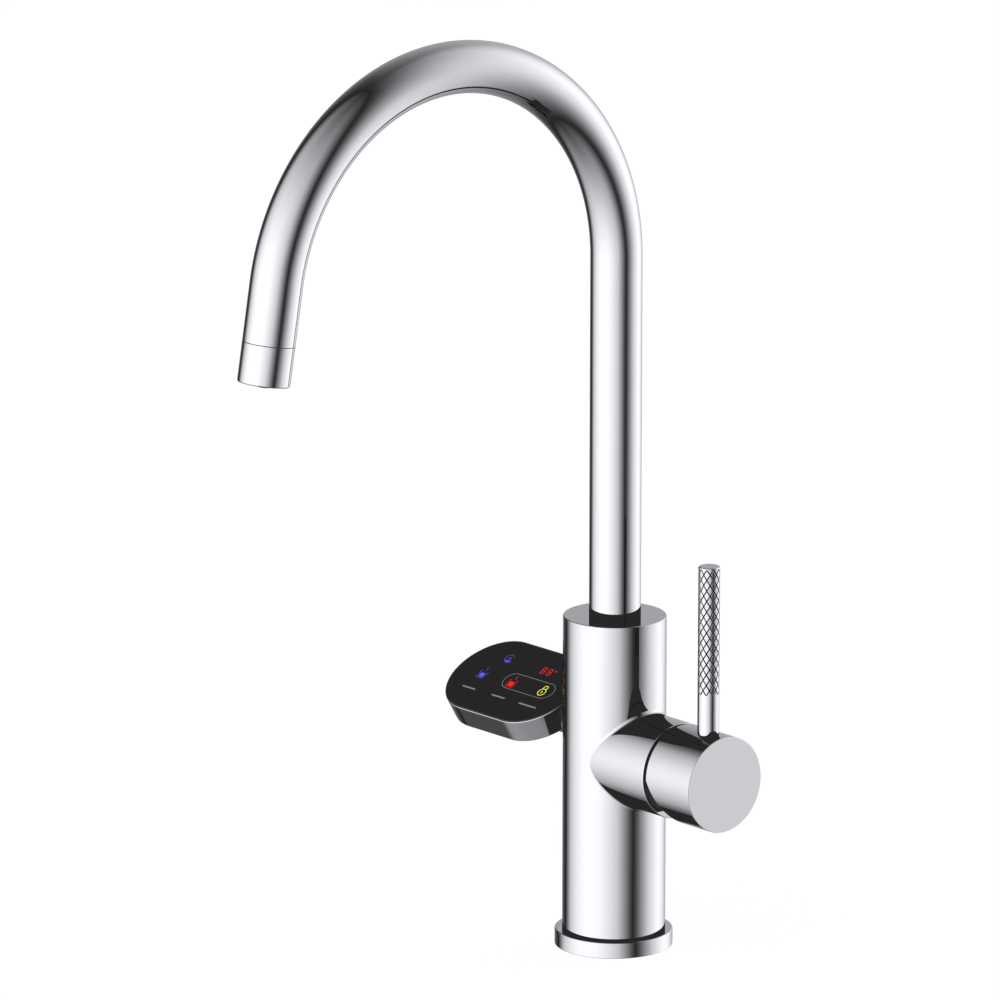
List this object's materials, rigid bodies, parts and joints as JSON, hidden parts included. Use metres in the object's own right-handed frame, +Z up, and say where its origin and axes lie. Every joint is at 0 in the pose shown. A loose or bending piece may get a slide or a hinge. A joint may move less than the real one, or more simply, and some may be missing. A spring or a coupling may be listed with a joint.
{
  "type": "boiling water tap",
  "caption": "Swan-neck boiling water tap with a round column, a side mixer handle with a knurled lever and a tilted touch panel on a stem.",
  "frame": {"origin": "mouth of the filtered water port, on the column axis at the worktop's surface", "axes": "+Z up along the column, -Y towards the user and along the spout at rest, +X towards the mixer handle, -X towards the touch panel"},
  "size_m": [0.1838, 0.2484, 0.4412],
  "materials": {
    "chrome": "polished chrome plate",
    "dark_chrome": "smoked polished chrome",
    "brass": "bare machined brass",
    "copper": "drawn copper pipe",
    "steel": "stainless steel",
    "black_rubber": "matt black rubber",
    "blue_rubber": "blue sealing rubber",
    "silicone": "translucent silicone",
    "slip_plastic": "white low-friction plastic",
    "cartridge_plastic": "dark glass-filled plastic",
    "ceramic": "polished white ceramic",
    "outlet_plastic": "grey plastic grille",
    "nozzle_dark": "dark satin nozzle",
    "black_glass": "black glossy glass",
    "circuit_green": "circuit board lacquer",
    "red_display": "red display resin",
    "light_guide": "milky light guide"
  },
  "bodies": {
    "tap_body": {"base_gasket": "black_rubber", "base_flange": "chrome", "tap_column": "chrome", "inlet_manifold": "brass", "manifold_seal": "black_rubber", "cable_grommet": "black_rubber", "riser_pipes": "copper", "stop_screw": "steel", "cartridge_housing": "cartridge_plastic", "cartridge_seals": "blue_rubber", "fixed_disc": "ceramic", "cartridge_nut": "brass", "cartridge_cover": "chrome", "panel_stem": "chrome", "panel_housing": "dark_chrome", "panel_seal": "black_rubber", "panel_glass": "black_glass", "panel_board": "circuit_green", "board_screws": "steel", "display_block": "red_display", "light_guides": "light_guide"},
    "spout": {"spout_tube": "chrome", "swivel_insert": "brass", "spout_seals": "black_rubber", "slip_rings": "slip_plastic", "inner_hose": "silicone", "outlet_sleeve": "chrome", "aerator": "outlet_plastic", "nozzle": "nozzle_dark"},
    "mixer_rotor": {"cartridge_rotor": "cartridge_plastic", "pivot_pin": "steel"},
    "disc_slide": {"moving_disc": "ceramic", "disc_carrier": "slip_plastic"},
    "handle": {"spindle": "brass", "handle_cap": "chrome", "handle_grub": "steel", "lever": "chrome"}
  },
  "joints": [
    {"name": "spout_swivel", "type": "hinge", "parent": "tap_body", "child": "spout", "pos_m": [0, 0, 0.158], "axis": [0, 0, 1], "range_deg": [-90, 90]},
    {"name": "temperature_turn", "type": "hinge", "parent": "tap_body", "child": "mixer_rotor", "pos_m": [0.038, 0, 0.0927], "axis": [1, 0, 0], "range_deg": [-50, 50]},
    {"name": "flow_tilt", "type": "hinge", "parent": "mixer_rotor", "child": "handle", "pos_m": [0.038, 0, 0.0927], "axis": [0, 1, 0], "range_deg": [0, 22]},
    {"name": "disc_travel", "type": "slide", "parent": "mixer_rotor", "child": "disc_slide", "axis": [0, 0, 1], "range_m": [0, 0.00445]}
  ],
  "couplings": [
    {"joint": "disc_travel", "follows": "flow_tilt", "m_per_rad": 0.01151}
  ]
}
